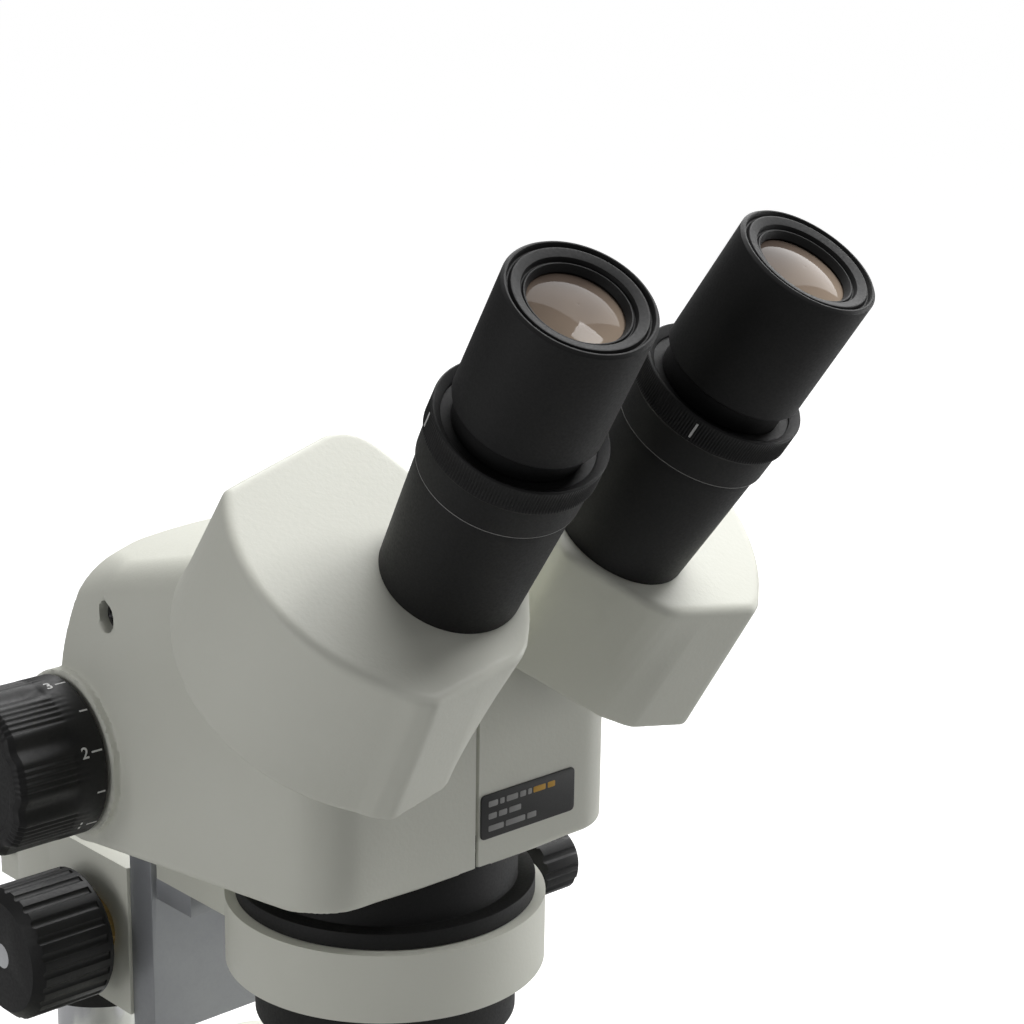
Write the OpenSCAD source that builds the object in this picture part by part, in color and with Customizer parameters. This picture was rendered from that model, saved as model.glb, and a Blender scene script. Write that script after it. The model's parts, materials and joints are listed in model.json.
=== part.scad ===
// Greenough stereo zoom microscope: inclined binocular head on a focusing pillar stand.
// Millimetres. +Z up, -Y towards the user, origin on the bench plane under the optical centre.

/* [Eyepieces] */
// Elevation of the eye tubes above the horizontal
tube_elev = 56; // [50:1:60]
// Outward splay of each eye tube, equal to the convergence half angle
splay = 5.07; // [4:0.01:5.5]
// Half distance between the two eye tube bases
tube_x = 29.86; // [29.5:0.01:31]
// Radius of the eyepiece barrel
eyepiece_r = 19; // [18:0.1:19.4]
// Radius of the eyepiece spigot that plugs into the dioptre ring
spigot_r = 15; // [14.5:0.05:15]
// Distance from the tube base to the top of the eyepiece
eyepiece_top = 96.5; // [94:0.5:100]

/* [Head] */
// Half width of the zoom body
body_hw = 56; // [55.5:0.5:58]
// Depth of a prism housing along its tube
housing_h = 44.4; // [44:0.1:45]
// Wall of the moulded covers
wall = 2.8; // [2:0.1:3.2]
// Radius of the head barrel that sits in the ring holder
barrel_r = 38; // [37.5:0.1:38]
// Radius of the zoom knobs
zoom_knob_r = 23.5; // [22:0.5:24]

/* [Stand] */
// Width of the base
base_w = 200; // [180:5:240]
// Depth of the base
base_d = 300; // [290:5:320]
// Radius of the column
column_r = 16; // [15:0.5:16]
// Radius of the stage plate
stage_r = 47.5; // [45:0.5:50]
// Radius of the focus knobs
focus_knob_r = 21; // [18:0.5:24]

/* [Fits] */
// Radial running clearance of shafts and sliding rods
run_fit = 0.05; // [0.03:0.01:0.09]
// Gap left between covers and other parts that move past each other
free_gap = 0.4; // [0.3:0.05:0.5]

/* [Hidden] */
$fn = 72;

cream = [0.86, 0.86, 0.80];
black = [0.09, 0.09, 0.09];
steel = [0.72, 0.73, 0.75];
grey = [0.45, 0.46, 0.48];
brass = [0.78, 0.64, 0.34];
lens = [0.70, 0.62, 0.56];

// Head placement: the eye tube bases lie in front of and above the optical centre
tube_y = -62;
tube_z = 282;

// Zoom body profile in the YZ plane, front face towards -Y
front_y = -39.4;
front_top_z = 244;
ridge = [6, 281];
roof_end = [74, 262];
roof_fall = -15.3;
crown_r = 230;
body_floor_z = 186;
zoom_y = 73;
zoom_z = 202;
boss_r = 28;
boss_rim_r = 24.6;
screw_at = [55, 247];
screw_deep = 5;
label_at = [18.6, 200.9];
label_size = [35, 13, 0.5];
knob_from = 60;
knob_len = 28.6;
dial_len = 9.6;
hollow_r = 7.8;
hollow_depth = 1.4;
back_r = 75;
back_c = 29;
corner_r = 16;

// Pivot of a prism housing, in its own tube frame, and the height of the deck
pivot = [-5, 13];
spigot_out_r = 12.5;
spigot_in_r = 9.5;

// Head barrel and ring holder
barrel_z0 = 132;
ring_z0 = 148;
ring_z1 = 168;
ring_r = 46;
aux_thread_r = 24;
aux_thread_len = 7;
light_seat_z1 = 146;

// Column, bracket and slide
column_y = 150;
column_top = 184;
clamp_y = column_y + 36;
bracket_z0 = 98;
bracket_z1 = 148;
slide_face_y = 96;
rack_y = 106;
pinion_teeth = 15;
pinion_z = 123;
pinion_y = rack_y + pinion_teeth / 2;
shaft_r = 4;

// Base
foot_h = 6;
base_top = 22;
base_y0 = -110;
stage_floor = 18;

// Zoom train: module 1 throughout
zoom_pinion_teeth = 20;
idler_teeth = 48;
rack_pinion_teeth = 12;
idler_dist = (zoom_pinion_teeth + idler_teeth) / 2;
idler_ang = 145;
idler_y = zoom_y + idler_dist * cos(idler_ang);
idler_z = zoom_z + idler_dist * sin(idler_ang);
gear_x = 22;
channel_x = 16.7;
elbow_z = 213;
upper_z = 190;
lower_z = 158;
rod_ys = [-22, 18];
rod_r = 2;

// ---------- helpers ----------
function arc(c, r, a0, a1, n) = [for (i = [0:n]) let (a = a0 + (a1 - a0) * i / n)
    [c[0] + r * cos(a), c[1] + r * sin(a)]];
function shrink(pts, c, k) = [for (p = pts) [c[0] + (p[0] - c[0]) * k, c[1] + (p[1] - c[1]) * k]];

// Local frame of an eye tube: z up the tube, x outwards, y up the slope
module at_tube(side) {
    mirror([side < 0 ? 1 : 0, 0, 0])
        translate([tube_x, tube_y, tube_z])
            rotate([90 - tube_elev, 0, 0])
                rotate([0, splay, 0])
                    children();
}
module rod_x(r, x0, x1, y, z) {
    translate([x0, y, z])
        rotate([0, 90, 0])
            cylinder(h = x1 - x0, r = r);
}
module rod_z(r, x, y, z0, z1) {
    translate([x, y, z0])
        cylinder(h = z1 - z0, r = r);
}
module block(x0, x1, y0, y1, z0, z1) {
    translate([x0, y0, z0])
        cube([x1 - x0, y1 - y0, z1 - z0]);
}
module plate(w, d, r) {
    for (s = [0, 1])
        square([w - 2 * r * s, d - 2 * r * (1 - s)], center = true);
    for (x = [-1, 1], y = [-1, 1])
        translate([x * (w / 2 - r), y * (d / 2 - r)])
            circle(r);
}
// YZ profile extruded along X
module extrude_x(x0, x1) {
    translate([x0, 0, 0])
        rotate([90, 0, 90])
            linear_extrude(x1 - x0)
                children();
}

// Stub involute gear, module 1, pressure angle 20, tooth centred on local +X
function flank(r, t, teeth) = let (rp = teeth / 2, rb = rp * cos(20), c = min(1, rb / r),
    inv_p = tan(20) * 180 / PI - 20, al = acos(c), inv_r = tan(al) * 180 / PI - al)
    t + inv_p - inv_r;
module gear_2d(teeth, slack = 0.08) {
    rp = teeth / 2;
    ra = rp + 0.7;
    rf = rp - 0.95;
    half = 90 / teeth - slack / rp * 180 / PI;
    steps = 5;
    rs = [for (i = [0:steps]) max(rf, rp * cos(20)) + (ra - max(rf, rp * cos(20))) * i / steps];
    union() {
        circle(rf + 0.05);
        for (k = [0:teeth - 1])
            rotate(k * 360 / teeth)
                polygon(concat(
                    [[rf * cos(flank(rs[0], half, teeth)), rf * sin(-flank(rs[0], half, teeth))]],
                    [for (r = rs) r * [cos(flank(r, half, teeth)), -sin(flank(r, half, teeth))]],
                    [for (i = [steps:-1:0]) rs[i] * [cos(flank(rs[i], half, teeth)),
                        sin(flank(rs[i], half, teeth))]],
                    [[rf * cos(flank(rs[0], half, teeth)), rf * sin(flank(rs[0], half, teeth))]],
                    [[0, 0]]));
    }
}
// Rack teeth along +Z pointing +Y from the pitch line y = 0, one tooth centred at z = 0
module rack_2d(n0, n1, depth, slack = 0.08) {
    q = PI / 4 - slack;
    s = tan(20);
    translate([-depth, (n0 - 0.5) * PI])
        square([depth - 0.95, (n1 - n0 + 1) * PI]);
    for (k = [n0:n1])
        translate([0, k * PI])
            polygon([[-1, -q - 1 * s], [0.7, -q + 0.7 * s], [0.7, q - 0.7 * s], [-1, q + 1 * s]]);
}

// ---------- stand ----------
module base_plate() {
    color(black)
    difference() {
        translate([0, base_y0 + base_d / 2, foot_h - 2])
            linear_extrude(base_top - foot_h + 2)
                plate(base_w, base_d, 22);
        // hollow underside, open downwards, with solid pads under stage and column
        difference() {
            translate([0, base_y0 + base_d / 2, foot_h - 3])
                linear_extrude(7)
                    plate(base_w - 20, base_d - 20, 14);
            rod_z(58, 0, 0, foot_h - 4, 14);
            rod_z(38, 0, column_y, foot_h - 4, 14);
            for (x = [-1, 1], y = [0, 1])
                rod_z(16, x * (base_w / 2 - 24), base_y0 + 24 + y * (base_d - 48), foot_h - 4, 14);
            block(-5, 5, base_y0 + 6, base_y0 + base_d - 6, foot_h - 4, 14);
        }
        rod_z(stage_r + 0.5, 0, 0, stage_floor, base_top + 1);
        // finger notch beside the stage plate
        rod_z(9, 0, -stage_r - 1, stage_floor + 1, base_top + 1);
        rod_z(column_r + 0.02, 0, column_y, 14, base_top + 1);
        for (x = [-1, 1], y = [0, 1])
            rod_z(8, x * (base_w / 2 - 24), base_y0 + 24 + y * (base_d - 48), 0, foot_h - 1);
        for (a = [30, 150, 270])
            translate([0, column_y, 0])
                rotate(a)
                    rod_z(2, 24, 0, 12, base_top + 1);
        for (s = [-1, 1])
            rod_z(2, s * 66, 12, 12, base_top + 1);
    }
}
module rubber_feet() {
    color([0.15, 0.15, 0.15])
    for (x = [-1, 1], y = [0, 1])
        translate([x * (base_w / 2 - 24), base_y0 + 24 + y * (base_d - 48), 0])
            rotate_extrude()
                polygon([[0, 0], [9, 0], [10, 1], [10, 3.8], [7.9, 3.8], [7.9, foot_h - 1.05],
                    [0, foot_h - 1.05]]);
}
module column() {
    color(steel)
    difference() {
        rod_z(column_r, 0, column_y, 14.1, column_top);
        rod_z(column_r - 4, 0, column_y, 30, column_top + 1);
    }
}
module column_flange() {
    color(steel)
    difference() {
        union() {
            rod_z(30, 0, column_y, base_top, base_top + 6);
            rod_z(21.5, 0, column_y, base_top, base_top + 13);
        }
        rod_z(column_r, 0, column_y, base_top - 1, base_top + 14);
        for (a = [30, 150, 270])
            translate([0, column_y, 0])
                rotate(a) {
                    rod_z(2.2, 24, 0, base_top - 1, base_top + 7);
                    rod_z(4, 24, 0, base_top + 3, base_top + 14);
                }
    }
}
module socket_screw(head_r, head_h, thread_r, thread_l) {
    difference() {
        union() {
            cylinder(h = head_h, r = head_r);
            translate([0, 0, -thread_l])
                cylinder(h = thread_l + 0.1, r = thread_r);
        }
        translate([0, 0, head_h * 0.45])
            cylinder(h = head_h, r = head_r * 0.58, $fn = 6);
    }
}
module flange_screws() {
    color(black)
    for (a = [30, 150, 270])
        translate([0, column_y, base_top + 3])
            rotate(a)
                translate([24, 0, 0])
                    socket_screw(3.7, 2.9, 1.95, 9);
}
module column_cap() {
    color(black)
    union() {
        rod_z(column_r - 4, 0, column_y, column_top - 10, column_top);
        translate([0, column_y, column_top])
            rotate_extrude()
                polygon([[0, 0], [column_r, 0], [column_r, 1.6], [column_r - 1.4, 3], [0, 3]]);
    }
}
module stage_plate() {
    color([0.93, 0.93, 0.92])
    rotate_extrude($fn = 96)
        polygon([[0, stage_floor], [stage_r - 0.6, stage_floor], [stage_r, stage_floor + 0.6],
            [stage_r, base_top + 1.4], [stage_r - 0.6, base_top + 2], [0, base_top + 2]]);
}
module stage_clip(side) {
    color(steel)
    mirror([side < 0 ? 1 : 0, 0, 0])
    translate([66, 12, 0])
    difference() {
        union() {
            rod_z(7, 0, 0, base_top + 0.6, base_top + 2.1);
            // the spring strip steps up over the stage plate and reaches inwards
            rotate(-160)
                rotate([90, 0, 0])
                    translate([0, 0, -5.5])
                        linear_extrude(11)
                            polygon([[0, base_top + 0.6], [10, base_top + 0.6], [17, base_top + 4],
                                [52, base_top + 2.4], [57, base_top + 5], [56, base_top + 6.2],
                                [52, base_top + 3.8], [17, base_top + 5.4], [9.6, base_top + 2.1],
                                [0, base_top + 2.1]]);
        }
        rod_z(3.1, 0, 0, base_top, base_top + 3);
    }
}
module stage_clip_left() { stage_clip(-1); }
module stage_clip_right() { stage_clip(1); }
module clip_screws() {
    color(steel)
    for (s = [-1, 1])
        translate([s * 66, 12, 0])
            union() {
                rod_z(1.95, 0, 0, 14, base_top + 0.1);
                rod_z(6, 0, 0, base_top, base_top + 0.5);
                rod_z(3, 0, 0, base_top, base_top + 3);
                rod_z(6.5, 0, 0, base_top + 2.4, base_top + 7);
            }
}
module safety_collar() {
    color(black)
    difference() {
        rod_z(25, 0, column_y, 84, bracket_z0 - 0.3);
        rod_z(column_r + run_fit, 0, column_y, 83, bracket_z0);
        rod_x(3.05, -30, -10, column_y, 91);
    }
}
module thumb_screw(r, l, knob_r, knob_l, reach) {
    union() {
        cylinder(h = l + reach, r = r);
        difference() {
            translate([0, 0, reach])
                rotate_extrude()
                    polygon([[0, 0], [knob_r * 0.6, 0], [knob_r, 2.5], [knob_r, knob_l - 1],
                        [knob_r - 1, knob_l], [0, knob_l]]);
            for (a = [0:30:330])
                rotate(a)
                    translate([knob_r + 0.6, 0, reach + 2])
                        cylinder(h = knob_l, r = 1.4, $fn = 24);
        }
    }
}
module collar_screw() {
    color(black)
    translate([-column_r - 0.3, column_y, 91])
        rotate([0, -90, 0])
            thumb_screw(3, 0, 6.4, 14, 10);
}

// ---------- focusing block ----------
// dovetail section, widening towards +Y; g opens it for the female way
module dovetail_2d(g) {
    polygon([[-12 - g, slide_face_y - 1], [12 + g, slide_face_y - 1], [12 + g, slide_face_y],
        [16.5 + g, 104 + g], [-16.5 - g, 104 + g], [-12 - g, slide_face_y]]);
}
module focus_bracket() {
    color(cream)
    difference() {
        union() {
            rod_z(27, 0, column_y, bracket_z0, bracket_z1);
            block(-25, 25, slide_face_y, column_y - 8, bracket_z0, bracket_z1);
            block(-12, 12, column_y + 20, column_y + 44, bracket_z0 + 12, bracket_z1 - 12);
        }
        rod_z(column_r + run_fit, 0, column_y, bracket_z0 - 1, bracket_z1 + 1);
        block(-1.5, 1.5, column_y + 10, column_y + 46, bracket_z0 - 1, bracket_z1 + 1);
        rod_x(3.3, -14, 14, clamp_y, pinion_z);
        translate([0, 0, bracket_z0 - 1])
            linear_extrude(bracket_z1 - bracket_z0 + 2)
                dovetail_2d(0.08);
        block(-6, 6, 103, 108, bracket_z0 - 1, bracket_z1 + 1);
        rod_x(9, -7, 7, pinion_y, pinion_z);
        rod_x(7, -26, 26, pinion_y, pinion_z);
    }
}
module bracket_clamp_screw() {
    color(black)
    translate([12.3, clamp_y, pinion_z])
        rotate([0, 90, 0])
            union() {
                translate([0, 0, -27])
                    cylinder(h = 28, r = 3.2);
                thumb_screw(4.5, 0, 12, 20, 3);
            }
}
module pinion_bushes() {
    color(brass)
    for (s = [-1, 1])
        difference() {
            union() {
                rod_x(7, s < 0 ? -27 : 7.5, s < 0 ? -7.5 : 27, pinion_y, pinion_z);
                rod_x(10, s < 0 ? -27 : 25, s < 0 ? -25 : 27, pinion_y, pinion_z);
            }
            rod_x(shaft_r + run_fit, -30, 30, pinion_y, pinion_z);
        }
}
module focus_slide() {
    color(grey)
    union() {
        block(-24, 24, 84, slide_face_y - 0.3, 94, ring_z1);
        block(-22, 22, 66, 85, ring_z0 - 7, ring_z0);
        difference() {
            translate([0, 0, 94])
                linear_extrude(ring_z0 - 94)
                    dovetail_2d(0);
            block(-5.2, 5.2, 100, 106, 90, ring_z0 + 1);
        }
    }
}
module focus_rack() {
    color(brass)
    translate([-5, rack_y, pinion_z])
        rotate([90, 0, 90])
            linear_extrude(10)
                rack_2d(-9, 9, 5.9);
}
module ring_holder() {
    color(cream)
    difference() {
        union() {
            rod_z(ring_r, 0, 0, ring_z0, ring_z1);
            block(-22, 22, 36, 83.9, ring_z0 + 0.02, ring_z1);
            rod_x(9, 40, 50, 0, (ring_z0 + ring_z1) / 2);
        }
        rod_z(barrel_r + run_fit, 0, 0, ring_z0 - 1, ring_z1 + 1);
        rod_x(3.05, 30, 60, 0, (ring_z0 + ring_z1) / 2);
        for (s = [-1, 1]) {
            rod_z(3.2, s * 12, 74, ring_z0 - 1, ring_z1 + 1);
            rod_z(5.2, s * 12, 74, ring_z1 - 7, ring_z1 + 1);
        }
    }
}
module holder_screws() {
    color(black)
    for (s = [-1, 1])
        translate([s * 12, 74, ring_z1 - 7])
            socket_screw(5, 5, 2.9, 12.9);
}
module head_lock_screw() {
    color(black)
    translate([barrel_r + 0.4, 0, (ring_z0 + ring_z1) / 2])
        rotate([0, 90, 0])
            thumb_screw(3, 0, 10, 16, 14);
}
module pinion_shaft() {
    color(steel)
    union() {
        rod_x(shaft_r, -60, 60, pinion_y, pinion_z);
        translate([-5, pinion_y, pinion_z])
            rotate([90, 0, 90])
                linear_extrude(10)
                    rotate(180 + 180 / pinion_teeth)
                        gear_2d(pinion_teeth);
    }
}
module grip_knob(r, l, flutes) {
    difference() {
        rotate_extrude()
            polygon([[shaft_r, 0], [r * 0.55, 0], [r * 0.55, 2], [r - 1, 2], [r, 3], [r, l - 3],
                [r - 3, l], [0, l], [0, l - 4], [shaft_r, l - 4]]);
        for (k = [0:flutes - 1])
            rotate(k * 360 / flutes)
                translate([r + 1.1, 0, 4])
                    cylinder(h = l, r = 1.8, $fn = 24);
    }
}
module focus_knob(side) {
    color(black)
    mirror([side < 0 ? 1 : 0, 0, 0])
        translate([side < 0 ? 30 : 36, pinion_y, pinion_z])
            rotate([0, 90, 0])
                difference() {
                    grip_knob(focus_knob_r, 30, 24);
                    translate([0, 0, -1])
                        cylinder(h = 61 - (side < 0 ? 30 : 36), r = shaft_r);
                }
}
module focus_knob_left() { focus_knob(-1); }
module focus_knob_right() { focus_knob(1); }
module tension_ring() {
    color(steel)
    difference() {
        rod_x(14, 27.3, 35.5, pinion_y, pinion_z);
        rod_x(shaft_r + 0.4, 26, 37, pinion_y, pinion_z);
        for (k = [0:5])
            translate([31, pinion_y, pinion_z])
                rotate([k * 60, 0, 0])
                    translate([0, 0, 11])
                        cylinder(h = 4, r = 1.5, $fn = 24);
    }
}

// ---------- zoom body ----------
function body_profile() = concat(
    [[front_y, body_floor_z + 2], [front_y, front_top_z], ridge],
    arc([roof_end[0], roof_end[1] - 12], 12, 75, 12, 5),
    arc([zoom_y, zoom_z], boss_r, 15, -105, 12),
    [[front_y + 8, body_floor_z], [front_y + 2, body_floor_z]]);
back_ang = acos((body_hw + 1) / back_r);
function body_plan() = concat(
    arc([body_hw - corner_r, front_y + corner_r], corner_r, 0, -90, 8),
    arc([corner_r - body_hw, front_y + corner_r], corner_r, -90, -180, 8),
    arc([0, back_c], back_r, 180 - back_ang, back_ang, 24));
body_mid = [20, 224];
plan_mid = [0, 25];
module body_solid(k) {
    intersection() {
        extrude_x(-body_hw - 1, body_hw + 1)
            polygon(shrink(body_profile(), body_mid, k));
        translate([0, 0, 150])
            linear_extrude(140)
                polygon(shrink(body_plan(), plan_mid, k));
        // the roof is crowned from side to side, and falls towards the back
        translate([0, ridge[0], ridge[1] - 0.3 - (1 - k) * (ridge[1] - body_mid[1])])
            rotate([roof_fall, 0, 0])
                translate([0, 0, -crown_r])
                    rotate([90, 0, 0])
                        cylinder(h = 300, r = crown_r, center = true, $fn = 240);
    }
}
// one facet of the inclined deck on each side, square to that side's pivot axis
module above_deck(gap) {
    for (s = [-1, 1])
        intersection() {
            at_tube(s)
                translate([-70, -60, -housing_h - gap])
                    cube([140, 125, 60]);
            block(s < 0 ? -90 : 0, s < 0 ? 0 : 90, -90, 60, 180, 330);
        }
}
module body_cover(side) {
    color(cream)
    difference() {
        union() {
            intersection() {
                body_solid(1);
                mirror([side < 0 ? 1 : 0, 0, 0])
                    block(0.12, 90, -60, 120, 150, 300);
            }
            rod_x(boss_rim_r, side < 0 ? -body_hw - 2.5 : body_hw - 4,
                side < 0 ? -body_hw + 4 : body_hw + 2.5, zoom_y, zoom_z);
        }
        difference() {
            body_solid(0.945);
            above_deck(free_gap + wall);
        }
        above_deck(free_gap);
        rod_z(barrel_r + 0.3, 0, 0, 170, 196);
        rod_x(7, -70, 70, zoom_y, zoom_z);
        at_tube(side)
            translate([pivot[0], pivot[1], -70])
                cylinder(h = 40, r = spigot_out_r + 0.6);
        for (s = [-1, 1]) {
            rod_x(4.6, s < 0 ? -60 : body_hw - screw_deep, s < 0 ? -body_hw + screw_deep : 60,
                screw_at[0], screw_at[1]);
            rod_x(2.3, s < 0 ? -60 : 40, s < 0 ? -40 : 60, screw_at[0], screw_at[1]);
        }
    }
}
module body_cover_left() { body_cover(-1); }
module body_cover_right() { body_cover(1); }
module cover_screws() {
    color(steel)
    for (s = [-1, 1])
        mirror([s < 0 ? 1 : 0, 0, 0])
            translate([body_hw - screw_deep, screw_at[0], screw_at[1]])
                rotate([0, 90, 0])
                    difference() {
                        union() {
                            rotate_extrude()
                                polygon([[0, 0], [4.2, 0], [4.2, 1.4], [3, 2.6], [0, 3]]);
                            translate([0, 0, -9])
                                cylinder(h = 9.1, r = 1.95);
                        }
                        for (a = [0, 90])
                            rotate(a)
                                translate([-2.4, -0.5, 1.4])
                                    cube([4.8, 1, 3]);
                    }
}
module label_plate() {
    color([0.2, 0.2, 0.21])
    translate([label_at[0], front_y, label_at[1]])
        rotate([90, 0, 0])
            linear_extrude(label_size[2])
                plate(label_size[0], label_size[1], 1.6);
}
module head_barrel() {
    color(black)
    difference() {
        union() {
            rod_z(barrel_r - 0.3, 0, 0, barrel_z0, light_seat_z1 + 1);
            rod_z(barrel_r, 0, 0, light_seat_z1, 189.4);
            rod_z(43, 0, 0, ring_z1 + 0.3, ring_z1 + 5);
        }
        rod_z(barrel_r - 3.5, 0, 0, 141, 190);
        rod_z(aux_thread_r, 0, 0, barrel_z0 - 1, barrel_z0 + aux_thread_len);
        for (s = [-1, 1])
            translate([s * 5.5, 0, barrel_z0])
                cylinder(h = 20, r = 12.2);
    }
}
module head_frame() {
    color(grey)
    difference() {
        union() {
            block(-46, 46, -28, 74, 189.5, 194);
            for (s = [-1, 1]) {
                block(s < 0 ? -44 : 40, s < 0 ? -40 : 44, -28, 79, 193, 226);
                block(s < 0 ? -44 : 40, s < 0 ? -40 : 44, 44, 66, 225, 253);
                rod_x(5, s < 0 ? -50.9 : 40, s < 0 ? -40 : 50.9, 55, 247);
                intersection() {
                    at_tube(s)
                        translate([-30, -8, -housing_h - 10])
                            cube([58, 42, 5.6]);
                    block(s < 0 ? -43 : 0.2, s < 0 ? -0.2 : 43, -31, 20, 194, 270);
                    body_solid(0.92);
                }
                block(s < 0 ? -44 : 40, s < 0 ? -40 : 44, -28, -4, 225, 243);
            }
            block(-44, 44, -32, -28, 189.5, 232);
        }
        rod_z(barrel_r - 3.5, 0, 0, 188, 195);
        block(-10, 10, 20, 64, 188, 195);
        block(gear_x - 2, gear_x + 8, 56, 90, 188, 195);
        rod_x(4 + run_fit, -60, 60, zoom_y, zoom_z);
        rod_x(3.05, -60, 60, idler_y, idler_z);
        for (s = [-1, 1]) {
            at_tube(s)
                translate([pivot[0], pivot[1], -70])
                    cylinder(h = 30, r = spigot_out_r + run_fit);
            rod_x(2, s < 0 ? -55 : 36, s < 0 ? -36 : 55, 55, 247);
        }
    }
}
module at_channel(side) {
    mirror([side < 0 ? 1 : 0, 0, 0])
        translate([channel_x, 0, elbow_z])
            rotate([0, splay, 0])
                children();
}
module objective_cells() {
    color(black)
    for (s = [-1, 1])
        mirror([s < 0 ? 1 : 0, 0, 0])
            translate([11.9, 0, 0])
                difference() {
                    rod_z(11.4, 0, 0, 141.1, 152);
                    rod_z(9.5, 0, 0, 140, 153);
                }
}
module objective_lenses() {
    color(lens)
    for (s = [-1, 1])
        translate([s * 11.9, 0, 143])
            rotate_extrude()
                polygon(concat([[0, -1.2]], [[9.45, 0], [9.45, 4]], [for (i = [1:6])
                    [9.45 * (1 - i / 6), 4 + 1.6 * (1 - pow(1 - i / 6, 2))]]));
}
module guide_rods() {
    color(steel)
    for (y = rod_ys)
        rod_z(rod_r, 0, y, 141.1, 206);
}
module elbow_prisms() {
    color([0.8, 0.88, 0.9])
    for (s = [-1, 1])
        at_channel(s)
            translate([0, 0, 6])
                rotate([0, 90, 0])
                    linear_extrude(18, center = true)
                        polygon([[9, -9], [9, 9], [-2, 9], [-13, -2], [-9, -9]]);
}
module zoom_shaft() {
    color(steel)
    union() {
        rod_x(4, -84, 84, zoom_y, zoom_z);
        rod_x(6, -58, -45, zoom_y, zoom_z);
        rod_x(6, 45, 58, zoom_y, zoom_z);
        translate([gear_x, zoom_y, zoom_z])
            rotate([90, 0, 90])
                linear_extrude(6)
                    rotate(idler_ang)
                        gear_2d(zoom_pinion_teeth);
    }
}
module zoom_knob(side) {
    color(black)
    mirror([side < 0 ? 1 : 0, 0, 0])
        translate([knob_from, zoom_y, zoom_z])
            rotate([0, 90, 0])
                difference() {
                    rotate_extrude()
                        polygon([[shaft_r, 0], [zoom_knob_r - 0.9, 0], [zoom_knob_r, 0.7],
                            [zoom_knob_r, 26.2], [zoom_knob_r - 1.1, 27.9], [zoom_knob_r - 3, knob_len],
                            [0, knob_len], [0, 24], [shaft_r, 24]]);
                    // finger hollows, outboard of the smooth dial band
                    for (k = [0:7])
                        rotate(k * 45 + 22.5)
                            translate([zoom_knob_r - hollow_depth + hollow_r, 0, dial_len])
                                cylinder(h = knob_len, r = hollow_r);
                }
}
module zoom_knob_left() { zoom_knob(-1); }
module zoom_knob_right() { zoom_knob(1); }
module zoom_idler() {
    color(brass)
    union() {
        rod_x(3, -43.5, 43.5, idler_y, idler_z);
        translate([gear_x, idler_y, idler_z])
            rotate([90, 0, 90])
                linear_extrude(6)
                    rotate(idler_ang + 180 + 180 / idler_teeth)
                        gear_2d(idler_teeth);
        translate([-5, idler_y, idler_z])
            rotate([90, 0, 90])
                linear_extrude(10)
                    rotate(180 / rack_pinion_teeth)
                        gear_2d(rack_pinion_teeth);
    }
}
module carrier_plate(z, lens_x) {
    difference() {
        block(-30, 30, -27, 23.5, z, z + 4);
        for (x = [-1, 1], y = [-1, 1])
            translate([x * 30, y < 0 ? -27 : 23.5, z - 1])
                rotate(45)
                    cube([16, 16, 20], center = true);
        for (s = [-1, 1])
            rod_z(8.5, s * lens_x, 0, z - 1, z + 5);
        for (y = rod_ys)
            rod_z(rod_r + run_fit, 0, y, z - 1, z + 5);
    }
}
upper_lens_x = 14.9;
lower_lens_x = 12.9;
module upper_zoom_carrier() {
    color(grey)
    union() {
        carrier_plate(upper_z, upper_lens_x);
        for (s = [-1, 1]) {
            block(s < 0 ? -9 : 6, s < 0 ? -6 : 9, 20, 23.5, upper_z + 3, upper_z + 10);
            block(s < 0 ? -9 : 6, s < 0 ? -6 : 9, 20, 57, upper_z + 6.5, upper_z + 10);
        }
        block(-9, 9, 53, 57, upper_z + 6.5, upper_z + 10);
        translate([4, idler_y + rack_pinion_teeth / 2, idler_z])
            rotate([90, 0, -90])
                linear_extrude(8)
                    rack_2d(-7, 4, 5);
    }
}
module lower_zoom_carrier() {
    color(grey)
    union() {
        carrier_plate(lower_z, lower_lens_x);
        block(-4, 4, 23, 31, lower_z, lower_z + 4);
        block(-4, 4, 27, 31, lower_z, idler_z - 11);
        block(-4, 4, 27, idler_y - 7.2, idler_z - 15, idler_z - 11);
        translate([-4, idler_y - rack_pinion_teeth / 2, idler_z])
            rotate([90, 0, 90])
                linear_extrude(8)
                    rack_2d(-4, 5, 4);
    }
}
module lens_pair(x, z) {
    for (s = [-1, 1])
        translate([s * x, 0, z])
            rotate_extrude()
                polygon(concat([[0, -0.6]], [[8.45, 0.4], [8.45, 3.4]], [for (i = [1:6])
                    [8.45 * (1 - i / 6), 3.4 + 1.3 * (1 - pow(1 - i / 6, 2))]]));
}
module upper_zoom_lenses() { color(lens) lens_pair(upper_lens_x, upper_z); }
module lower_zoom_lenses() { color(lens) lens_pair(lower_lens_x, lower_z); }

// ---------- prism housings ----------
function housing_top() = concat(
    arc(pivot, 55.5, -46, 34, 16),
    arc([3.5, 41.5], 11.2, 75, 160, 6),
    [[-23.4, -2], [-22.9, -4.6], [-12.6, -19.6], [-7.6, -25.4], [-4, -28], [-1, -28.9]],
    [[26.2, -32.8], [30, -30.6]]);
function housing_bottom() = concat(
    arc([3.3, 12], 52.5, -54, 50, 16),
    arc([5, 42], 10.5, 78, 165, 6),
    [[-17.6, 2], [-16.6, -5.4], [-0.2, -27.2], [5.9, -31.9], [8, -33]],
    [[26.2, -36.2], [31, -33.6]]);
module slab(pts, z0, z1) {
    translate([0, 0, z0])
        linear_extrude(z1 - z0)
            polygon(pts);
}
housing_mid = [14, 8];
module housing_outer() {
    hull() {
        slab(shrink(housing_top(), housing_mid, 0.955), -0.2, 0);
        slab(housing_top(), -2.4, -2.2);
        slab(housing_bottom(), -housing_h + 1.2, -housing_h + 1.4);
        slab(shrink(housing_bottom(), housing_mid, 0.98), -housing_h, -housing_h + 0.2);
    }
}
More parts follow.
